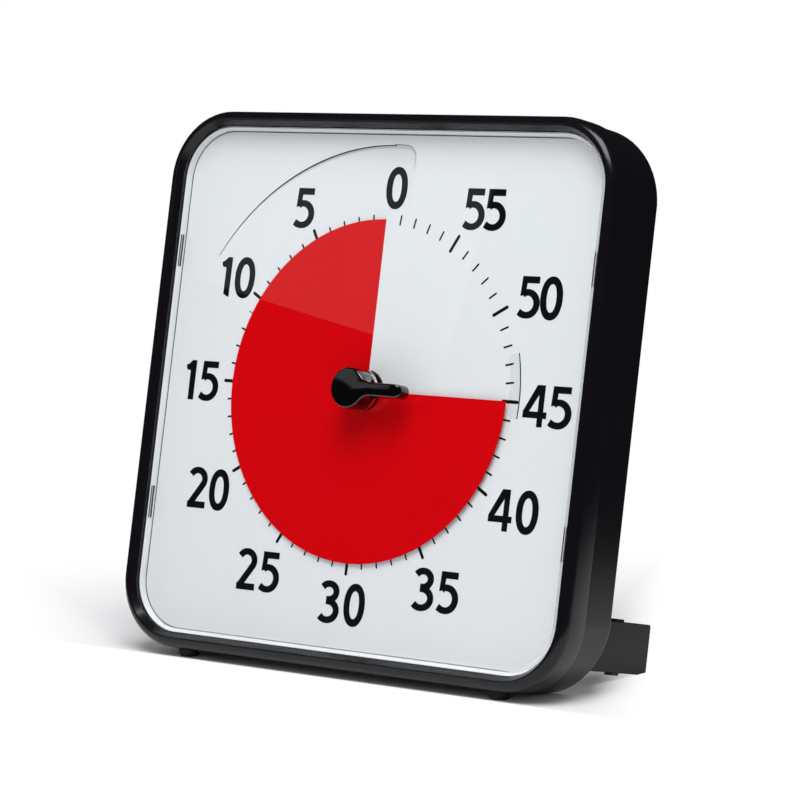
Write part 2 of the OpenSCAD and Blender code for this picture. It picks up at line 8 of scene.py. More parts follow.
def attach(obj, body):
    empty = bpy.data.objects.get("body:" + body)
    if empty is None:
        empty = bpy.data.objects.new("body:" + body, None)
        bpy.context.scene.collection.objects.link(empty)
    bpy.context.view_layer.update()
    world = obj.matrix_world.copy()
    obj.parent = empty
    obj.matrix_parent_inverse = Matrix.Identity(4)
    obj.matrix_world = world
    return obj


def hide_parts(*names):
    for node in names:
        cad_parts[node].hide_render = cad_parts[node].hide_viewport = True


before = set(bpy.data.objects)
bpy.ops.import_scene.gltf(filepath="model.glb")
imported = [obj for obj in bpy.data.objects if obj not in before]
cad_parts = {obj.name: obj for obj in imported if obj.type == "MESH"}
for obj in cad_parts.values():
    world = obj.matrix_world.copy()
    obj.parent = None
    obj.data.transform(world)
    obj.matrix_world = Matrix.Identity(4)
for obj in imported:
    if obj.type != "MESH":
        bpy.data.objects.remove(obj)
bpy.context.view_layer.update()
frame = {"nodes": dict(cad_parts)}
nodes = frame["nodes"]

# ---- sizes, in millimetres on the face: x right, y up the dial, z out of the dial ----
LEAN = math.radians(11)
HALF, CORNER_R = 95.5, 25.5
FLAT = HALF - CORNER_R
FRAME_CORNER_R, HOUSING_CORNER_R = 24.3, 27.2
FRAME_FLAT = HALF - FRAME_CORNER_R
BEZEL_RISE, BEZEL_ROUND, OPENING = 6.2, 3.5, 90.4
FRAME_DEPTH, FRAME_WALL, LEDGE_W, LEDGE_T, DIAL_T = 5.8, 2.4, 4.55, 2, 0.25
LENS_HALF, LENS_INNER, LENS_FRONT, SKIRT = 90.1, 2.49, 3.59, 1.5
TAB_Y, TAB_HALF = 45.2, 5.7
DISC_R, DISC_BORE, DISC_T, DISC_MID, DISC_PITCH, DISC_OPEN = 59.4, 6.9, 0.15, -0.385, 2.6, 4
DISC_REST_TURN = 270
FLAP_DROP, FLAP_TURN, FLAP_RISE, FLAP_R, FLAP_BORE, FLAP_SIDE = 1.2, 67, 1.1, 85, 7, 9.6
KNOB_R, KNOB_FRONT, KNOB_T = 6.8, 12.0, 6.0
CAP_R, ARM_REACH, ARM_W, ARM_DROOP, DROOP_FROM = 7.0, 22.3, 4.7, 1.3, 4.2
FOOT_IN = 28.25

FACE = (Matrix.Translation((0, -0.01534333, 0.09648292))
        @ Matrix.Rotation(math.pi / 2 - LEAN, 4, "X") @ Matrix.Scale(0.001, 4))
FACE_INVERSE = FACE.inverted()


# ---- modelling ----
def square_run(bm, corners, flat, rounds=(), steps=14):
    """Runs a closed wall section round the rounded square; corners are (out from the corner's centre, z)."""
    made = [bm.verts.new((flat + x, -flat, z)) for x, z in corners]
    face = bm.faces.new(made)
    for index, radius, segments in rounds:
        bmesh.ops.bevel(bm, geom=[made[index]], offset=radius, offset_type="OFFSET", segments=segments,
                        profile=0.5, affect="VERTICES", material=-1, clamp_overlap=True)
    face = bm.faces[:][-1] if not face.is_valid else face
    rim = list(face.edges)
    bmesh.ops.delete(bm, geom=[face], context="FACES_ONLY")
    for quarter in range(4):
        turn = Matrix.Rotation(quarter * math.pi / 2, 4, "Z")
        grown = bmesh.ops.extrude_edge_only(bm, edges=rim)["geom"]
        rim = [e for e in grown if isinstance(e, bmesh.types.BMEdge)]
        points = [v for v in grown if isinstance(v, bmesh.types.BMVert)]
        bmesh.ops.translate(bm, verts=points, vec=turn @ Vector((0, 2 * flat, 0)))
        swept = bmesh.ops.spin(bm, geom=rim + points, cent=turn @ Vector((flat, flat, 0)), axis=(0, 0, 1),
                               angle=math.pi / 2, steps=steps, use_merge=False, use_duplicate=False)
        rim = [e for e in swept["geom_last"] if isinstance(e, bmesh.types.BMEdge)]
    bmesh.ops.remove_doubles(bm, verts=bm.verts[:], dist=0.001)


def oval(x, y, rx, ry, start, end, steps=20):
    """Points along an oval arc, from the start angle to the end angle in degrees."""
    turns = [math.radians(start + (end - start) * i / steps) for i in range(steps + 1)]
    return [(x + rx * math.cos(a), y + ry * math.sin(a)) for a in turns]


def flat_face(bm, outline, z=0.0):
    """Fills an outline with one face at a height."""
    return bm.faces.new([bm.verts.new((x, y, z)) for x, y in outline])


def raise_faces(bm, faces, height):
    """Extrudes flat faces along z and returns the new caps."""
    grown = bmesh.ops.extrude_face_region(bm, geom=faces)["geom"]
    bmesh.ops.translate(bm, verts=[v for v in grown if isinstance(v, bmesh.types.BMVert)], vec=(0, 0, height))
    return [f for f in grown if isinstance(f, bmesh.types.BMFace)]


def face_span(node):
    """The lowest and highest corners of a node on the face, in millimetres."""
    points = [FACE_INVERSE @ v.co for v in nodes[node].data.vertices]
    return tuple(Vector([pick(p[i] for p in points) for i in range(3)]) for pick in (min, max))


def bevel_edges(bm, edges, offset, segments):
    bmesh.ops.bevel(bm, geom=edges, offset=offset, offset_type="OFFSET", segments=segments, profile=0.5,
                    affect="EDGES", material=-1, clamp_overlap=True)


def block(bm, low, high, soft, segments=2):
    """Adds a box between two corners, with softened edges."""
    made = bmesh.ops.create_cube(bm, size=1)["verts"]
    size = Vector(high) - Vector(low)
    bmesh.ops.scale(bm, verts=made, vec=size)
    bmesh.ops.translate(bm, verts=made, vec=(Vector(high) + Vector(low)) / 2)
    edges = list({e for v in made for e in v.link_edges})
    bevel_edges(bm, edges, soft, segments)


def turned(bm, section, steps=64):
    """Spins an open section of (radius, z) a full turn about z."""
    line = [bm.verts.new((r, 0, z)) for r, z in section]
    edges = [bm.edges.new(pair) for pair in zip(line, line[1:])]
    bmesh.ops.spin(bm, geom=line + edges, cent=(0, 0, 0), axis=(0, 0, 1), angle=2 * math.pi, steps=steps,
                   use_merge=True, use_duplicate=False)


def lies_at(edge, z):
    return all(abs(v.co.z - z) < 0.001 for v in edge.verts)


def soften(bm, offset, segments):
    """Rounds every edge that turns by more than 30 degrees."""
    edges = [e for e in bm.edges if len(e.link_faces) == 2 and e.calc_face_angle(0) > math.radians(30)]
    bevel_edges(bm, edges, offset, segments)


def piece(name, bm, body, finish, stands_for=(), smooth=32, place=FACE, fix_normals=True):
    """Turns a bmesh into a piece in its place, on its body."""
    if fix_normals:
        bmesh.ops.recalc_face_normals(bm, faces=bm.faces[:])
    if place is not None:
        bm.transform(place)
    mesh = bpy.data.meshes.new(name)
    bm.to_mesh(mesh)
    bm.free()
    mesh.shade_smooth()
    mesh.set_sharp_from_angle(angle=math.radians(smooth))
    mesh.materials.append(finish)
    made = bpy.data.objects.new(name, mesh)
    bpy.context.scene.collection.objects.link(made)
    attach(made, body)
    if stands_for:
        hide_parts(*stands_for)
    return made


def round_corners(bm):
    """Draws the housing's outer wall in at its corners, which are rounder than the frame's."""
    flat = HALF - HOUSING_CORNER_R
    for v in bm.verts:
        at = FACE_INVERSE @ v.co
        over = Vector((abs(at.x) - flat, abs(at.y) - flat))
        if at.z > -FRAME_DEPTH + 0.01 or min(over) <= 0:
            continue
        way, shift = over.normalized(), Vector((FLAT - flat, FLAT - flat))
        along = way.dot(shift)
        wall = along + math.sqrt(along ** 2 - shift.length_squared + CORNER_R ** 2)
        wall = min(wall, HOUSING_CORNER_R / max(way)) if max(way) > 0.9999 else wall
        share = min(1, max(0, (over.length / wall - 0.86) / 0.1))
        over *= 1 - share * max(0, 1 - HOUSING_CORNER_R / wall)
        v.co = FACE @ Vector((math.copysign(flat + over.x, at.x), math.copysign(flat + over.y, at.y), at.z))


def softened_node(node, body, finish, offset, name=None, shape=None):
    """A merged copy of a CAD node with small rounded edges, which stands for it."""
    bm = bmesh.new()
    bm.from_mesh(nodes[node].data)
    bmesh.ops.remove_doubles(bm, verts=bm.verts[:], dist=2e-6)
    bmesh.ops.dissolve_limit(bm, angle_limit=math.radians(0.6), verts=bm.verts[:], edges=bm.edges[:])
    if shape:
        shape(bm)
    soften(bm, offset * 0.001, 2)
    made = piece(name or node + "_moulded", bm, body, finish, [node], place=None, fix_normals=False)
    even = made.modifiers.new("even_normals", "WEIGHTED_NORMAL")
    even.keep_sharp = True


# ---- materials ----
class Wire:
    """A node's output that takes part in plain arithmetic."""

    def __init__(self, finish, socket):
        self.finish, self.socket = finish, socket

    def math(self, operation, a, b=None):
        values = {0: a} if b is None else {0: a, 1: b}
        return self.finish.node("ShaderNodeMath", {"operation": operation}, values)

    def __add__(self, other): return self.math("ADD", self, other)
    def __radd__(self, other): return self.math("ADD", other, self)
    def __sub__(self, other): return self.math("SUBTRACT", self, other)
    def __rsub__(self, other): return self.math("SUBTRACT", other, self)
    def __mul__(self, other): return self.math("MULTIPLY", self, other)
    def __rmul__(self, other): return self.math("MULTIPLY", other, self)
    def __gt__(self, other): return self.math("GREATER_THAN", self, other)
    def __lt__(self, other): return self.math("LESS_THAN", self, other)


class Nodes:
    """A node tree that is wired by plain calls."""

    def __init__(self, tree):
        self.tree = tree

    def node(self, kind, settings=None, values=None, out=0):
        made = self.tree.nodes.new(kind)
        for key, value in (settings or {}).items():
            setattr(made, key, value)
        for key, value in (values or {}).items():
            self.feed(made.inputs[key], value)
        return Wire(self, made.outputs[out])

    def feed(self, socket, value):
        if isinstance(value, Wire):
            self.tree.links.new(value.socket, socket)
        else:
            socket.default_value = value

    def ray(self, kind):
        return self.node("ShaderNodeLightPath", out=kind)

    def seen_directly(self):
        """1 where the camera looks straight or through clear plastic, 0 for light on its way to a surface."""
        bounced = (self.ray("Diffuse Depth") + self.ray("Glossy Depth")) > 0.5
        return (self.ray("Is Camera Ray") + self.ray("Is Transmission Ray") > 0.5) * (1 - bounced)

    def mirrored(self):
        """1 for what is seen in a glossy surface, also through clear plastic."""
        through_clear = self.ray("Is Transmission Ray") * (self.ray("Glossy Depth") > 0.5)
        return (self.ray("Is Glossy Ray") + through_clear) > 0.5

    def mix(self, share, first, second):
        return self.node("ShaderNodeMixShader", None, {0: share, 1: first, 2: second})


class Finish(Nodes):
    """One procedural material, built around a Principled shader."""

    def __init__(self, name, **constants):
        self.material = bpy.data.materials.new(name)
        self.material.use_nodes = True
        super().__init__(self.material.node_tree)
        self.shader = self.tree.nodes["Principled BSDF"]
        self.lit = Wire(self, self.shader.outputs[0])
        self.output = self.tree.nodes["Material Output"].inputs["Surface"]
        for key, value in constants.items():
            self.shader.inputs[key.replace("_", " ")].default_value = value
        self.place = self.node("ShaderNodeTexCoord", out="Object")

    def set(self, **values):
        for key, value in values.items():
            self.feed(self.shader.inputs[key.replace("_", " ")], value)

    def noise(self, scale, detail=2.0, roughness=0.5, at=None):
        return self.node("ShaderNodeTexNoise", None, {"Vector": at or self.place, "Scale": scale,
                                                      "Detail": detail, "Roughness": roughness})

    def between(self, low, high, share):
        """Blends two colours by a share from 0 to 1."""
        return self.node("ShaderNodeMix", {"data_type": "RGBA"},
                         {0: share, 6: (*low, 1), 7: (*high, 1)}, out=2)

    def rise(self, wire, low, high):
        """Runs smoothly from 0 at the low value to 1 at the high one."""
        return self.node("ShaderNodeMapRange", {"interpolation_type": "SMOOTHSTEP"},
                         {0: wire, 1: low, 2: high})

    def spread(self, wire, low, high, new_low, new_high):
        """Carries the range from low to high over to a new range."""
        return self.node("ShaderNodeMapRange", None, {0: wire, 1: low, 2: high, 3: new_low, 4: new_high})

    def bump(self, height, strength, distance):
        self.set(Normal=self.node("ShaderNodeBump", None,
                                  {"Strength": strength, "Distance": distance, "Height": height}))


def moulded(name, colour, roughness, grain=0.25, shine=0.5):
    """Injection-moulded plastic with a fine spark-eroded skin and slow changes of gloss."""
    finish = Finish(name, Specular_IOR_Level=shine)
    slow = finish.noise(28, 3)
    fine = finish.noise(2600, 2, 0.6)
    rubbed = finish.noise(240, 4, 0.7)
    dark, light = [c * 0.88 for c in colour], [c * 1.12 for c in colour]
    gloss = slow * 0.6 + rubbed * 0.4
    finish.set(Base_Color=finish.between(dark, light, slow),
               Roughness=finish.spread(gloss, 0.3, 0.7, roughness - 0.04, roughness + 0.05))
    finish.bump(fine, grain, 0.00004)
    return finish.material


def metal(name, colour, roughness):
    """Plain metal with drawn streaks and a little tarnish."""
    finish = Finish(name, Metallic=1.0)
    run = finish.node("ShaderNodeMapping", None, {"Vector": finish.place, "Scale": (1, 1, 12)})
    streaks = finish.noise(900, 3, 0.6, at=run)
    tarnish = finish.noise(160, 4, 0.6)
    clean = finish.spread(tarnish, 0.3, 0.62, 0, 1)
    finish.set(Base_Color=finish.between([c * 0.72 for c in colour], colour, clean),
               Roughness=finish.spread(streaks, 0.3, 0.7, roughness - 0.05, roughness + 0.12))
    finish.bump(streaks, 0.12, 0.00003)
    return finish.material


def clear_plastic(name, tint):
    """Polished clear plastic that bends what is seen, and lets shadow and bounced rays pass straight."""
    finish = Finish(name, Base_Color=(*tint, 1), IOR=1.49, Transmission_Weight=1.0)
    haze = finish.noise(60, 3)
    finish.set(Roughness=finish.spread(haze, 0.35, 0.7, 0.0, 0.012))
    open_light = finish.node("ShaderNodeBsdfTransparent", None, {"Color": (0.985, 0.99, 0.99, 1)})
    passing = (finish.ray("Is Shadow Ray") + finish.ray("Diffuse Depth") + finish.ray("Glossy Depth")) > 0.5
    finish.feed(finish.output, finish.mix(passing, finish.lit, open_light))
    return finish.material


def dial_sheet():
    """Smooth white printed sheet with a faint tooth."""
    finish = Finish("dial_sheet_white", Specular_IOR_Level=0.25)
    cloud = finish.noise(14, 3)
    tooth = finish.noise(3200, 2, 0.6)
    finish.set(Base_Color=finish.between((0.745, 0.765, 0.79), (0.775, 0.79, 0.812), cloud),
               Roughness=finish.spread(cloud, 0.3, 0.7, 0.55, 0.62))
    finish.bump(tooth, 0.1, 0.00002)
    return finish.material


def disc_film():
    """Satin red film with fine rolling lines."""
    finish = Finish("disc_film_red", Specular_IOR_Level=0.015)
    cloud = finish.noise(30, 3)
    run = finish.node("ShaderNodeMapping", None, {"Vector": finish.place, "Scale": (1, 1, 14)})
    rolled = finish.noise(700, 2, at=run)
    finish.set(Base_Color=finish.between((0.60, 0.0, 0.002), (0.66, 0.0, 0.0035), cloud),
               Roughness=finish.spread(rolled, 0.3, 0.7, 0.4, 0.5))
    finish.bump(rolled, 0.05, 0.00002)
    return finish.material


def ink_black():
    """Flat printing ink, a little uneven."""
    finish = Finish("ink_black", Specular_IOR_Level=0.15)
    patch = finish.noise(500, 3)
    finish.set(Base_Color=finish.between((0.0012, 0.001, 0.0014), (0.0028, 0.0025, 0.003), patch),
               Roughness=finish.spread(patch, 0.3, 0.7, 0.45, 0.6))
    return finish.material


def rubber_black():
    """Dull dusty rubber."""
    finish = Finish("foot_rubber_black", Specular_IOR_Level=0.3)
    dust = finish.noise(420, 4, 0.7)
    pale = finish.spread(dust, 0.4, 0.75, 0, 1)
    finish.set(Base_Color=finish.between((0.009, 0.009, 0.01), (0.022, 0.022, 0.023), pale),
               Roughness=finish.spread(dust, 0.3, 0.7, 0.62, 0.82))
    finish.bump(dust, 0.25, 0.00006)
    return finish.material


def board():
    """Green board with copper tracks under its mask."""
    finish = Finish("board_green_mask", Specular_IOR_Level=0.5)
    face = finish.node("ShaderNodeMapping", None, {"Vector": finish.place, "Rotation": (-LEAN, 0, 0)})
    tracks = finish.node("ShaderNodeTexWave", {"wave_type": "BANDS", "bands_direction": "X"},
                         {"Vector": face, "Scale": 180.0, "Distortion": 6.0, "Detail": 1.0,
                          "Detail Scale": 0.6})
    raised = tracks > 0.72
    finish.set(Base_Color=finish.between((0.012, 0.09, 0.03), (0.05, 0.23, 0.08), raised), Roughness=0.32)
    finish.bump(raised, 0.3, 0.00005)
    return finish.material


def cell_sleeve():
    """Printed sleeve of the battery: a plain body with a lighter band round one end."""
    finish = Finish("cell_sleeve", Specular_IOR_Level=0.5)
    along = finish.node("ShaderNodeSeparateXYZ", None, {0: finish.place})
    band = along > 0.0125
    scuff = finish.noise(300, 4, 0.7)
    finish.set(Base_Color=finish.between((0.035, 0.055, 0.085), (0.55, 0.33, 0.10), band),
               Roughness=finish.spread(scuff, 0.3, 0.7, 0.24, 0.4),
               Metallic=finish.spread(scuff, 0.3, 0.7, 0.35, 0.5))
    return finish.material


def wound_copper():
    """Turns of lacquered wire, side by side along x."""
    finish = Finish("winding_copper", Metallic=0.9, Coat_Weight=0.4)
    turns = finish.node("ShaderNodeTexWave",
                        {"wave_type": "BANDS", "bands_direction": "X", "wave_profile": "SIN"},
                        {"Vector": finish.place, "Scale": 2400.0, "Distortion": 0.4})
    finish.set(Base_Color=finish.between((0.30, 0.10, 0.035), (0.72, 0.32, 0.14), turns), Roughness=0.3)
    finish.bump(turns, 0.6, 0.00008)
    return finish.material


CASE_BLACK = moulded("case_satin_black", (0.0045, 0.004, 0.0058), 0.18, grain=0.08, shine=0.36)
LEG_BLACK = moulded("leg_satin_black", (0.006, 0.0055, 0.007), 0.4, shine=0.3)
KNOB_BLACK = moulded("knob_gloss_black", (0.0012, 0.0012, 0.0016), 0.08, grain=0.01, shine=0.9)
# black of the small parts, also used for the painted shade at the lens skirt, the tab slots and the dial
# flap's edge
PART_BLACK_AND_PAINTED_SHADE = moulded("small_part_black_and_painted_shade", (0.012, 0.012, 0.013), 0.5)
SWITCH_GREY = moulded("switch_grey", (0.42, 0.42, 0.43), 0.42)
IVORY = moulded("movement_ivory", (0.62, 0.58, 0.48), 0.45)
ACETAL = moulded("wheel_acetal", (0.8, 0.78, 0.7), 0.35)
NYLON = moulded("bobbin_nylon", (0.04, 0.17, 0.08), 0.45)
STEEL = metal("bright_steel", (0.56, 0.57, 0.59), 0.25)
DARK_STEEL = metal("black_steel", (0.06, 0.06, 0.065), 0.38)
BRASS = metal("plain_brass", (0.72, 0.5, 0.2), 0.28)
# pale colour for the lens skirt's core: painted light for the light a clear skirt gathers on edge
SKIRT_PAINTED_LIGHT = moulded("lens_skirt_painted_light", (0.73, 0.745, 0.76), 0.35, shine=0.3)
CLEAR = clear_plastic("lens_clear", (0.985, 0.995, 0.99))
DIAL_WHITE, DISC_RED, INK, RUBBER = dial_sheet(), disc_film(), ink_black(), rubber_black()

NODE_FINISH = {
    CASE_BLACK: ["front_frame", "rear_housing", "battery_door"], CLEAR: ["lens", "disc_guide"],
    DIAL_WHITE: ["dial"], DISC_RED: ["disc"], KNOB_BLACK: ["knob", "disc_hub"],
    RUBBER: ["foot_left", "foot_right"],
    LEG_BLACK: ["leg_left", "leg_right"], PART_BLACK_AND_PAINTED_SHADE: ["timer_chip", "buzzer", "switch_body"],
    STEEL: ["arbor", "friction_washer", "stator", "quartz_crystal", "movement_screws", "leg_pin_left",
            "leg_pin_right", "positive_contact", "negative_contact"],
    DARK_STEEL: ["case_screws", "step_rotor"], BRASS: ["arbor_bush", "alarm_contact"],
    ACETAL: ["centre_wheel", "third_wheel", "seconds_wheel", "intermediate_wheel", "alarm_cam"],
    IVORY: ["movement_front", "movement_cover"], NYLON: ["coil_bobbin"], SWITCH_GREY: ["switch_slider"],
    wound_copper(): ["coil_winding"], board(): ["circuit_board"], cell_sleeve(): ["battery"],
}
for finish, names in NODE_FINISH.items():
    for node in names:
        nodes[node].data.materials.clear()
        nodes[node].data.materials.append(finish)


# ---- case ----
def front_frame():
    """Black bezel: rounded outside, a crest, and a short slope down to the lens."""
    bm = bmesh.new()
    outer, inner = FRAME_CORNER_R, OPENING - FRAME_FLAT
    ledge, ledge_z = inner - LEDGE_W, -DIAL_T - LEDGE_T
    square_run(bm, [(outer, -FRAME_DEPTH), (outer, BEZEL_RISE), (outer - BEZEL_ROUND - 0.05, BEZEL_RISE),
                    (inner, LENS_FRONT + 0.35), (inner, -DIAL_T), (ledge, -DIAL_T), (ledge, ledge_z),
                    (outer - FRAME_WALL, ledge_z), (outer - FRAME_WALL, -FRAME_DEPTH)], FRAME_FLAT,
               rounds=[(1, BEZEL_ROUND, 12), (0, 0.3, 3)])
    piece("front_frame_bezel", bm, "root", CASE_BLACK, ["front_frame"], smooth=26)


def is_inner_wall(face):
    """The wall that closes the lens section on the inside, which the clear plate takes away."""
    heights, centre = [v.co.z for v in face.verts], face.calc_center_median()
    return (abs(max(heights) - LENS_FRONT) < 0.001 and abs(min(heights) - LENS_INNER) < 0.001
            and max(abs(centre.x), abs(centre.y)) < LENS_HALF - 6)


def lens():
    """Clear cover: a flat plate with a skirt round it and a collar round the knob's hole."""
    bm = bmesh.new()
    out = LENS_HALF - FRAME_FLAT
    square_run(bm, [(out, 0), (out, LENS_FRONT), (out - 12, LENS_FRONT), (out - 12, LENS_INNER),
                    (out - SKIRT, LENS_INNER), (out - SKIRT, 0)], FRAME_FLAT, rounds=[(1, 0.4, 3)], steps=16)
    bmesh.ops.delete(bm, geom=[f for f in bm.faces if is_inner_wall(f)], context="FACES_ONLY")
    turned(bm, [(KNOB_R + 0.5, LENS_FRONT), (KNOB_R + 0.5, LENS_FRONT + 0.4),
                (KNOB_R + 0.4, LENS_FRONT + 0.5), (KNOB_R - 0.15, LENS_FRONT + 0.5),
                (KNOB_R - 0.25, LENS_FRONT + 0.4), (KNOB_R - 0.25, LENS_INNER)])
    for z in (LENS_FRONT, LENS_INNER):
        rims = [e for e in bm.edges if len(e.link_faces) == 1 and lies_at(e, z)]
        bmesh.ops.triangle_fill(bm, edges=rims, use_beauty=True, use_dissolve=False, normal=(0, 0, 1))
    piece("lens_clear", bm, "root", CLEAR, ["lens"], smooth=26)


def snap_tabs():
    """Clear tabs round the skirt, two a side and one above and below, with dark blocks of painted shade in
    the slots at the side ones.
    """
    sides = [(side, y) for side in (1, -1) for y in (TAB_Y, -TAB_Y)]
    reach, tab_t, tab_low, tab_high = LENS_HALF + 0.3, 0.29, 0.8, 2
    tabs = bmesh.new()
    for side, y in sides:
        block(tabs, (side * reach - tab_t, y - TAB_HALF, tab_low),
              (side * reach + tab_t, y + TAB_HALF, tab_high), 0.12)
    for y in (reach, -reach):
        block(tabs, (-TAB_HALF, y - tab_t, tab_low), (TAB_HALF, y + tab_t, tab_high), 0.12)
    piece("lens_snap_tabs", tabs, "root", CLEAR)
    # dark blocks: painted shade for the slots beside the side tabs
    reach, slot_half = LENS_HALF - 0.75, 0.4
    slot_shade_blocks = bmesh.new()
    for side, y in sides:
        block(slot_shade_blocks, (side * reach - slot_half, y - TAB_HALF, 0.004),
              (side * reach + slot_half, y + TAB_HALF, LENS_INNER - 0.9), 0.015, 1)
    piece("lens_tab_slot_shade", slot_shade_blocks, "root", PART_BLACK_AND_PAINTED_SHADE)


def skirt_painted_light_and_shade():
    """Paints how a clear skirt looks on edge: a pale core of painted light, between two dark rings of painted
    shade.
    """
    outer, inner = LENS_HALF - FRAME_FLAT, LENS_HALF - FRAME_FLAT - SKIRT
    # pale core: painted light inside the clear skirt
    painted_light_core = bmesh.new()
    square_run(painted_light_core, [(outer - 0.12, 0.03), (outer - 0.12, LENS_INNER - 0.3), (outer - 0.3, LENS_INNER - 0.3),
                      (inner + 0.12, 0.35), (inner + 0.12, 0.03)], FRAME_FLAT, steps=16)
    piece("lens_skirt_painted_light_core", painted_light_core, "root", SKIRT_PAINTED_LIGHT, smooth=20)
    # dark rings: painted shade at the skirt's inner foot and near its outer top
    painted_shade_rings = bmesh.new()
    for start, end, low, high in ((inner - 0.03, inner - 0.3, 0.004, 0.03),
                                  (outer - 0.02, outer - 0.34, LENS_INNER - 0.28, LENS_INNER - 0.1)):
        square_run(painted_shade_rings, [(start, low), (start, high), (end, high), (end, low)], FRAME_FLAT, steps=16)
    piece("lens_skirt_painted_shade", painted_shade_rings, "root", PART_BLACK_AND_PAINTED_SHADE)


def disc_guide():
    """Clear stop near the disc's rim, 20 degrees long."""
    bm = bmesh.new()
    start = math.radians(-5)
    line = [bm.verts.new((r * math.cos(start), r * math.sin(start), 0)) for r in (DISC_R + 0.4, DISC_R + 4.6)]
    edge = bm.edges.new(line)
    bmesh.ops.spin(bm, geom=line + [edge], cent=(0, 0, 0), axis=(0, 0, 1), angle=math.radians(20), steps=10)
    raise_faces(bm, bm.faces[:], 0.8)
    bmesh.ops.recalc_face_normals(bm, faces=bm.faces[:])
    soften(bm, 0.2, 3)
    piece("disc_guide_tab", bm, "root", CLEAR, ["disc_guide"], smooth=40)


# ---- dial print, flap root and the flap's painted shade line ----
def dial_height(x, y):
    """Height of the dial's face, which sinks over the flap, deepest at the slit."""
    r, turn = math.hypot(x, y), math.degrees(math.atan2(-x, y))
    if 0 <= turn <= FLAP_TURN and FLAP_BORE < r < FLAP_R:
        return -FLAP_DROP + FLAP_RISE * turn / FLAP_TURN
    if 0 < x < FLAP_SIDE and y > DISC_R + 2 and r < FLAP_R:
        return -FLAP_DROP
    return 0.0


def stroke(bm, points, thick=1.3, thin=1.12):
    """Draws a pen stroke: thick where it runs upright, thin where it runs level."""
    points = [Vector((x, y, 0)) for x, y in points]
    rail = None
    for i, p in enumerate(points):
        way = (points[min(i + 1, len(points) - 1)] - points[max(i - 1, 0)]).normalized()
        half = thin + (thick - thin) * abs(way.y)
        side = Vector((-way.y, way.x, 0)) * half
        if rail is None:
            rail = bm.edges.new((bm.verts.new(p + side), bm.verts.new(p - side)))
            left = rail.verts[0]
        else:
            grown = bmesh.ops.extrude_edge_only(bm, edges=[rail])["geom"]
            rail = next(e for e in grown if isinstance(e, bmesh.types.BMEdge)
                        and not set(e.verts) & set(before))
            left = next(v for v in rail.verts if any(o.other_vert(v) == left for o in v.link_edges))
            left.co, rail.other_vert(left).co = p + side, p - side
        before = list(rail.verts)


def squared(part):
    """Bends a sine or cosine so that an oval's sides get a little straighter."""
    return math.copysign(abs(part) ** 0.92, part)


def zero(bm):
    steps, rings = 56, []
    for rx, ry in ((4.5, 7.35), (1.95, 4.75)):
        ring = [bm.verts.new((4.5 + rx * squared(math.cos(a)), 6.95 + ry * squared(math.sin(a)), 0))
                for a in (2 * math.pi * i / steps for i in range(steps))]
        rings += [bm.edges.new((ring[i], ring[i - 1])) for i in range(steps)]
    bmesh.ops.bridge_loops(bm, edges=rings)


def one(bm):
    flat_face(bm, [(2.1, -0.1), (4.65, -0.1), (4.65, 14.0), (2.6, 14.0), (2.1, 13.5)])
    flat_face(bm, [(2.1, 13.5), (1.2, 12.7), (0, 12.2), (0.45, 10.55), (2.1, 10.25)])


def two(bm):
    stroke(bm, oval(3.75, 10.15, 3.35, 3.15, 152, -38, 22)
           + [(5.2, 6.5), (3.7, 4.5), (2.2, 2.4), (1.55, 1.5)])
    flat_face(bm, [(0.1, -0.1), (8.25, -0.1), (8.25, 2.25), (0.1, 2.25)])


def three(bm):
    stroke(bm, oval(3.65, 10.6, 3.2, 2.7, 150, -90, 22) + [(2.7, 7.9)])
    stroke(bm, [(2.7, 7.3)] + oval(3.6, 4.1, 3.85, 3.2, 90, -142, 24))


def four(bm):
    flat_face(bm, [(5.9, 0), (8.15, 0), (8.15, 14), (5.9, 14)])
    flat_face(bm, [(0, 2.9), (5.9, 2.9), (5.9, 5.1), (0, 5.1)])
    flat_face(bm, [(8.15, 2.9), (9.55, 2.9), (9.55, 5.1), (8.15, 5.1)])
    flat_face(bm, [(0, 5.1), (2.5, 5.1), (5.9, 10.7), (5.9, 14), (4.9, 14)])


def five(bm):
    flat_face(bm, [(1.1, 11.65), (8.2, 11.65), (8.2, 14), (1.2, 14)])
    flat_face(bm, [(1.1, 11.65), (0.85, 7.2), (2.2, 7.5), (3.0, 8.5), (3.3, 11.65)])
    stroke(bm, [(1.9, 7.75), (2.4, 8.2)] + oval(3.9, 4.75, 3.85, 3.85, 108, -90, 24)
           + [(2.9, 0.98), (1.9, 1.3), (0.75, 1.95)])


def flap_root():
    """Unbroken strip at the flap's root, where the sheet bends and isn't cut."""
    bm = bmesh.new()
    rows = []
    for turn in (math.radians(58.5 + 0.75 * i) for i in range(13)):
        sunk = dial_height(-80 * math.sin(turn), 80 * math.cos(turn))
        rows.append([bm.verts.new((-reach * math.sin(turn), reach * math.cos(turn), share * sunk + 0.012))
                     for reach, share in ((83.6, 1), (84.5, 0.7), (85.5, 0))])
    faces = [bm.faces.new((a[i], b[i], b[i + 1], a[i + 1])) for a, b in zip(rows, rows[1:]) for i in (0, 1)]
    bmesh.ops.recalc_face_normals(bm, faces=faces)
    raise_faces(bm, faces, -0.05)
    piece("dial_flap_root", bm, "root", DIAL_WHITE, smooth=40)


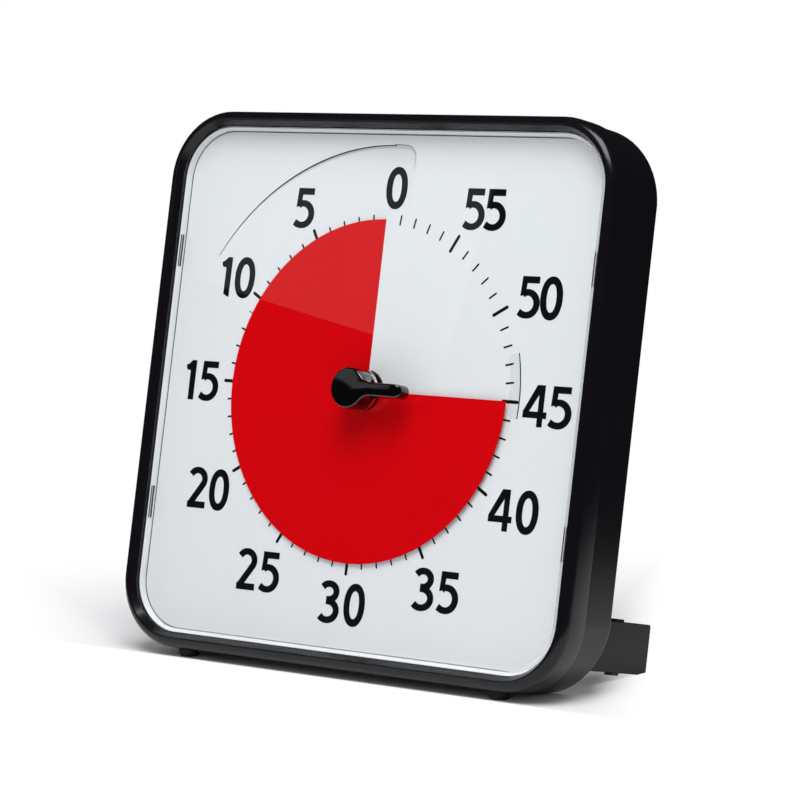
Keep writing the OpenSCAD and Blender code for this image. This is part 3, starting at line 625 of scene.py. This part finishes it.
def flap_edge_painted_shade():
    """Dark line of painted shade along the flap's cut edge, which runs on from the slit's arc, round the
    flap's corner and down part of its side.
    """
    bm = bmesh.new()
    corner_x, corner_y, corner_r = 5.5, 80.81, 4
    heading = [(math.radians(90 - turn), 0, 0, FLAP_R) for turn in (0, 1, 2, 3, 3.89)]
    heading += [(math.radians(turn), corner_x, corner_y, corner_r) for turn in (78, 66, 54, 42, 30, 18, 6, 0)]
    heading += [(0, corner_x, height, corner_r) for height in (79, 77)]
    # thin strip of painted shade, standing for the shadow of the cut edge
    rows = [[bm.verts.new((x + reach * math.cos(turn), y + reach * math.sin(turn), 0.004))
             for reach in (r + 0.02, r + 0.26 - 0.012 * i)] for i, (turn, x, y, r) in enumerate(heading)]
    faces = [bm.faces.new((a[0], a[1], b[1], b[0])) for a, b in zip(rows, rows[1:])]
    bmesh.ops.recalc_face_normals(bm, faces=faces)
    bmesh.ops.reverse_faces(bm, faces=[f for f in faces if f.normal.z < 0])
    raise_faces(bm, faces, 0.02)
    piece("dial_flap_painted_shade_line", bm, "root", PART_BLACK_AND_PAINTED_SHADE, smooth=20)


DIGITS = {"0": zero, "1": one, "2": two, "3": three, "4": four, "5": five}
DIGIT_HALF = 7.1
# each numeral: the height of its middle, and each digit with its left edge
NUMERALS = [(70.6, [("0", -2.4)]), (62.5, [("5", -41.4)]), (36.9, [("1", -70.8), ("0", -64.2)]),
            (-0.5, [("1", -81.5), ("5", -74.9)]), (-38.6, [("2", -74.1), ("0", -64.5)]),
            (-65.2, [("2", -47.5), ("5", -37.7)]), (-73.0, [("3", -9.9), ("0", 0.6)]),
            (-65.1, [("3", 29.1), ("5", 39.0)]), (-35.9, [("4", 56.3), ("0", 67.3)]),
            (-0.6, [("4", 65.5), ("5", 75.6)]), (35.3, [("5", 58.4), ("0", 67.4)]),
            (64.1, [("5", 32.0), ("5", 40.7)])]


# the inner end, outer end and half width of the minute marks
LONG_TICK, SHORT_TICK = (56.42, 63.49, 0.58), (57.67, 61.35, 0.32)


def dial_print():
    """Numerals and round-ended minute marks, laid on the dial and down into its flap."""
    bm = bmesh.new()
    for middle, digits in NUMERALS:
        for digit, left in digits:
            drawn = bmesh.new()
            DIGITS[digit](drawn)
            bmesh.ops.translate(drawn, verts=drawn.verts[:], vec=(left, middle - DIGIT_HALF, 0))
            sheet = bpy.data.meshes.new("digit")
            drawn.to_mesh(sheet)
            drawn.free()
            bm.from_mesh(sheet)
            bpy.data.meshes.remove(sheet)
    for minute in range(1, 60):
        near, far, half = SHORT_TICK if minute % 5 else LONG_TICK
        turn = Matrix.Rotation(math.radians(6 * minute), 3, "Z")
        ends = oval(0, far - half, half, half, 0, 180, 6) + oval(0, near + half, half, half, 180, 360, 6)
        bm.faces.new([bm.verts.new(turn @ Vector((x, y, 0))) for x, y in ends])
    bmesh.ops.recalc_face_normals(bm, faces=bm.faces[:])
    bmesh.ops.reverse_faces(bm, faces=[f for f in bm.faces if f.normal.z < 0])
    bmesh.ops.subdivide_edges(bm, edges=[e for e in bm.edges if e.calc_length() > 2.5], cuts=2)
    raise_faces(bm, bm.faces[:], 0.02)
    for v in bm.verts:
        v.co.z += dial_height(v.co.x, v.co.y) - 0.002
    piece("dial_print", bm, "root", INK, smooth=20)


# ---- red disc and knob ----
def red_disc():
    """The red disc is a shallow screw: it climbs as it goes round and slips under the dial at the slit."""
    bm = bmesh.new()
    turn, steps, start = 360 - DISC_OPEN, 178, math.radians(DISC_REST_TURN + 90)
    edge_z = DISC_MID + DISC_PITCH * DISC_REST_TURN / 360 - DISC_T / 2
    line = [bm.verts.new((r * math.cos(start), r * math.sin(start), edge_z))
            for r in (DISC_BORE, 24, 42, DISC_R)]
    edges = [bm.edges.new(pair) for pair in zip(line, line[1:])]
    bmesh.ops.spin(bm, geom=line + edges, cent=(0, 0, 0), axis=(0, 0, -1), angle=math.radians(turn),
                   steps=steps, dvec=(0, 0, -DISC_PITCH * turn / 360 / steps))
    raise_faces(bm, bm.faces[:], DISC_T)
    piece("red_disc", bm, "red_disc", DISC_RED, ["disc"], smooth=30)


def knob():
    """Glossy knob: a flat cap with a long domed arm, on a slightly smaller boss."""
    bm = bmesh.new()
    tip, blend = ARM_W / 2, 6
    reach_y = tip + blend
    reach_x = math.sqrt((CAP_R + blend) ** 2 - reach_y ** 2)
    meet = math.degrees(math.atan2(reach_y, reach_x))
    flat_face(bm, oval(0, 0, CAP_R, CAP_R, meet, 360 - meet, 72)
              + oval(reach_x, -reach_y, blend, blend, 170 - meet, 90, 10)
              + oval(ARM_REACH - tip, 0, tip, tip, -90, 90, 18)
              + oval(reach_x, reach_y, blend, blend, 270, 190 + meet, 10), KNOB_FRONT - KNOB_T)
    caps = raise_faces(bm, bm.faces[:], KNOB_T)
    bmesh.ops.recalc_face_normals(bm, faces=bm.faces[:])
    base = KNOB_FRONT - KNOB_T
    bevel_edges(bm, [e for f in caps for e in f.edges], 0.8, 5)
    bevel_edges(bm, [e for e in bm.edges if lies_at(e, base)], 0.3, 2)
    for back in (DROOP_FROM, 3.4, 2.6, 1.8, 1.2):
        bmesh.ops.bisect_plane(bm, geom=bm.verts[:] + bm.edges[:] + bm.faces[:],
                               plane_co=(ARM_REACH - back, 0, 0), plane_no=(1, 0, 0))
    for v in bm.verts:
        if v.co.z > KNOB_FRONT - KNOB_T / 2:
            v.co.z -= ARM_DROOP * max(0, (v.co.x - ARM_REACH + DROOP_FROM) / DROOP_FROM) ** 2.2
    turned(bm, [(0, base + 0.02), (5.9, base + 0.02), (6.1, base - 0.2), (6.1, LENS_INNER + 0.25),
                (5.9, LENS_INNER + 0.05), (0, LENS_INNER + 0.05)])
    piece("time_knob", bm, "pointer", KNOB_BLACK, ["knob"], smooth=26)


# ---- back, legs and feet ----
def rubber_feet():
    """Bowl-shaped rubber feet under the bottom edge, worn flat where they stand."""
    for side, node in ((1, "foot_right"), (-1, "foot_left")):
        bm = bmesh.new()
        turned(bm, [(0, -3.4), (1.6, -3.3), (2.5, -2.95), (3.1, -2.35), (3.42, -1.5), (3.55, -0.6),
                    (3.6, -0.05), (3.6, 0.02), (1.4, 0.02), (1.4, 2.4), (0, 2.4)], steps=48)
        under = Matrix.Translation((side * (HALF - FOOT_IN), -HALF, -2))
        bm.transform(FACE @ under @ Matrix.Rotation(-math.pi / 2, 4, "X"))
        cut = bmesh.ops.bisect_plane(bm, geom=bm.verts[:] + bm.edges[:] + bm.faces[:],
                                     plane_co=(0, 0, 0.00001), plane_no=(0, 0, 1), clear_inner=True)
        bmesh.ops.edgeloop_fill(bm, edges=[e for e in cut["geom_cut"] if isinstance(e, bmesh.types.BMEdge)])
        piece(node + "_pad", bm, "root", RUBBER, [node], smooth=40, place=None)


def back_and_legs():
    """Housing, legs, battery door with its finger ribs, and the switch's slider."""
    softened_node("rear_housing", "root", CASE_BLACK, 0.3, shape=round_corners)
    for side in ("left", "right"):
        softened_node("leg_" + side, side + "_leg", LEG_BLACK, 0.35,
                      name="leg_" + side + "_plate")
    softened_node("battery_door", "door", CASE_BLACK, 0.25, name="battery_door_cover")
    low, high = face_span("battery_door")
    middle = (low + high) / 2
    grip = bmesh.new()
    rib_pitch, rib_half_w, rib_half_h = 1.7, 0.45, 4.2
    for i in range(-4, 5):
        x = middle.x + rib_pitch * i
        block(grip, (x - rib_half_w, middle.y - rib_half_h, low.z - 0.4),
              (x + rib_half_w, middle.y + rib_half_h, low.z + 0.12), 0.2, 3)
    piece("battery_door_grip", grip, "door", CASE_BLACK)
    softened_node("switch_slider", "slider", SWITCH_GREY, 0.15)


front_frame()
lens()
snap_tabs()
skirt_painted_light_and_shade()
disc_guide()
dial_print()
flap_root()
flap_edge_painted_shade()
red_disc()
knob()
rubber_feet()
back_and_legs()


# ---- floor, light and camera ----
def white_floor():
    """Pale floor that keeps the soft shadow near the timer. Past fixed lines the camera sees plain white,
    and glossy surfaces see it darker with distance."""
    finish = Finish("floor_white", Roughness=0.9, Specular_IOR_Level=0.0)
    finish.set(Base_Color=(0.8, 0.8, 0.8, 1))
    shifted = finish.node("ShaderNodeMapping", None, {"Vector": finish.place, "Location": (-0.02, 0.0, 0)})
    away = finish.node("ShaderNodeVectorMath", {"operation": "LENGTH"}, {0: shifted}, out=1)
    x = finish.node("ShaderNodeSeparateXYZ", None, {0: finish.place})
    y = finish.node("ShaderNodeSeparateXYZ", None, {0: finish.place}, out=1)
    around, front = finish.rise(away, 0.14, 0.3), finish.rise(0 - y, 0.0355, 0.0375)
    right, left = finish.rise(x + y * 0.6, 0.081, 0.104), finish.rise(0 - x - y, 0.128, 0.178)
    share = around
    for part in (front, right, left):
        share = share.math("MAXIMUM", share, part)
    white = finish.node("ShaderNodeEmission", None, {"Color": (1, 1, 1, 1), "Strength": 1.0})
    dark = finish.node("ShaderNodeEmission", None, {"Color": (0.02, 0.02, 0.022, 1), "Strength": 1.0})
    dimmed = finish.mix(finish.mirrored() * finish.rise(away, 0.11, 0.42), finish.lit, dark)
    finish.feed(finish.output, finish.mix(finish.seen_directly() * share, dimmed, white))
    bm = bmesh.new()
    bmesh.ops.create_grid(bm, x_segments=1, y_segments=1, size=6)
    mesh = bpy.data.meshes.new("floor")
    bm.to_mesh(mesh)
    bm.free()
    mesh.materials.append(finish.material)
    floor = bpy.data.objects.new("floor", mesh)
    bpy.context.scene.collection.objects.link(floor)


def studio():
    """White backdrop, which the clear parts show too, in a room that is dim to anything glossy."""
    world = bpy.data.worlds.new("studio")
    bpy.context.scene.world = world
    world.use_nodes = True
    nodes = Nodes(world.node_tree)

    def room(colour, strength):
        return nodes.node("ShaderNodeBackground", None, {0: (*colour, 1), 1: strength})

    shown = nodes.mix(nodes.mirrored(), room((0.955, 0.97, 1.0), 0.52), room((0.9, 0.95, 1.0), 0.015))
    shown = nodes.mix(nodes.seen_directly(), shown, room((1, 1, 1), 1.0))
    nodes.feed(nodes.tree.nodes["World Output"].inputs["Surface"], shown)


def aimed(place, aim):
    """A place in metres for a lamp that points at another place."""
    turn = (Vector(aim) - Vector(place)).to_track_quat("-Z", "Y")
    return Matrix.Translation(place) @ turn.to_matrix().to_4x4()


def facing_dial(place, turn):
    """A place in face millimetres for a lamp that hangs parallel to the dial."""
    return (Matrix.Translation(FACE @ Vector(place)) @ Matrix.Rotation(math.pi / 2 - LEAN, 4, "X")
            @ Matrix.Rotation(math.radians(turn), 4, "Z"))


def softbox(name, wide, tall, watts, place):
    lamp = bpy.data.lights.new(name, "AREA")
    lamp.shape, lamp.size, lamp.size_y, lamp.energy = "RECTANGLE", wide, tall, watts
    made = bpy.data.objects.new(name, lamp)
    made.matrix_world = place
    bpy.context.scene.collection.objects.link(made)


def camera():
    """The view: a long lens from the front right, a little above the timer's top."""
    lens_data = bpy.data.cameras.new("camera")
    lens_data.lens, lens_data.sensor_width = 155.2, 36
    lens_data.clip_start, lens_data.clip_end = 0.05, 50
    made = bpy.data.objects.new("camera", lens_data)
    right, up = Vector((0.7984, 0.6022, -0.0014)), Vector((-0.0615, 0.0838, 0.9946))
    back = Vector((0.599, -0.794, 0.104))
    turn = Matrix((right, up, back)).transposed().to_4x4()
    made.matrix_world = Matrix.Translation((0.716106, -0.946086, 0.216165)) @ turn
    bpy.context.scene.collection.objects.link(made)
    bpy.context.scene.camera = made


white_floor()
studio()
softbox("key_above", 0.95, 0.95, 22.5, aimed((0.4, -0.62, 1.48), (0, 0, 0.1)))
softbox("dim_panel", 0.52, 0.42, 0.3, facing_dial((-690, 323, 700), -10.9))
camera()
bpy.context.scene.view_settings.view_transform = "Standard"
